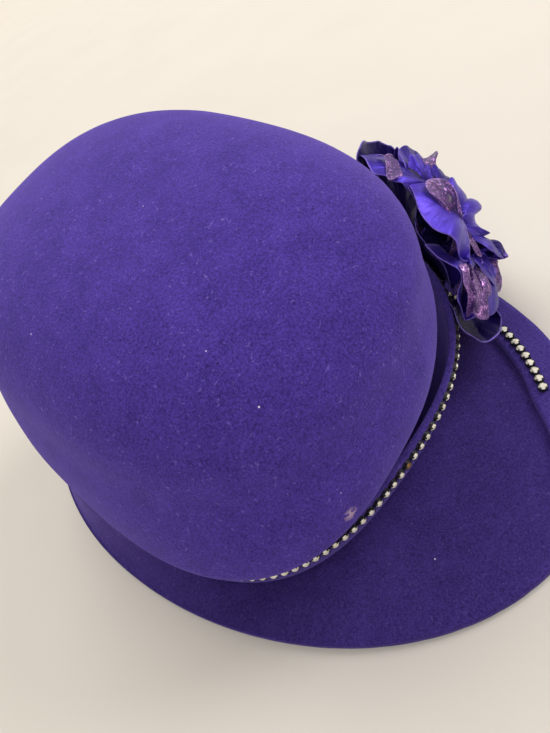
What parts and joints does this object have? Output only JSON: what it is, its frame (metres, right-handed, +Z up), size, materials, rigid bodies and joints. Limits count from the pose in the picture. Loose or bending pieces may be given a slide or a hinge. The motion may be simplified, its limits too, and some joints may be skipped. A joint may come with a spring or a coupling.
{
  "type": "church hat",
  "caption": "Deep-crowned purple felt church hat with a wide shaped brim, a standing felt band, cut-stone chains and a satin and organza flower.",
  "frame": {"origin": "on the surface the hat rests on, under the middle of the whole hat", "axes": "+Z up, the front of the hat towards -Y, the wearer's left towards +X"},
  "size_m": [0.2482, 0.3446, 0.1494],
  "materials": {
    "felt": "blocked wool felt, matt and slightly fuzzy",
    "felt_strap": "wool felt cut in a strap with raw edges",
    "stones": "clear cut stones in black cups",
    "satin": "violet satin with singed edges",
    "glitter": "pinkish lilac glitter organza"
  },
  "bodies": {
    "root": {"crown": "felt", "brim": "felt", "crown_band": "felt_strap", "band_chain": "stones", "brim_strap": "felt_strap", "strap_chain": "stones", "flower_base": "felt_strap", "satin_layer_1": "satin", "glitter_layer_1": "glitter", "satin_layer_2": "satin", "glitter_layer_2": "glitter", "satin_layer_3": "satin", "flower_knot": "satin"}
  },
  "joints": []
}
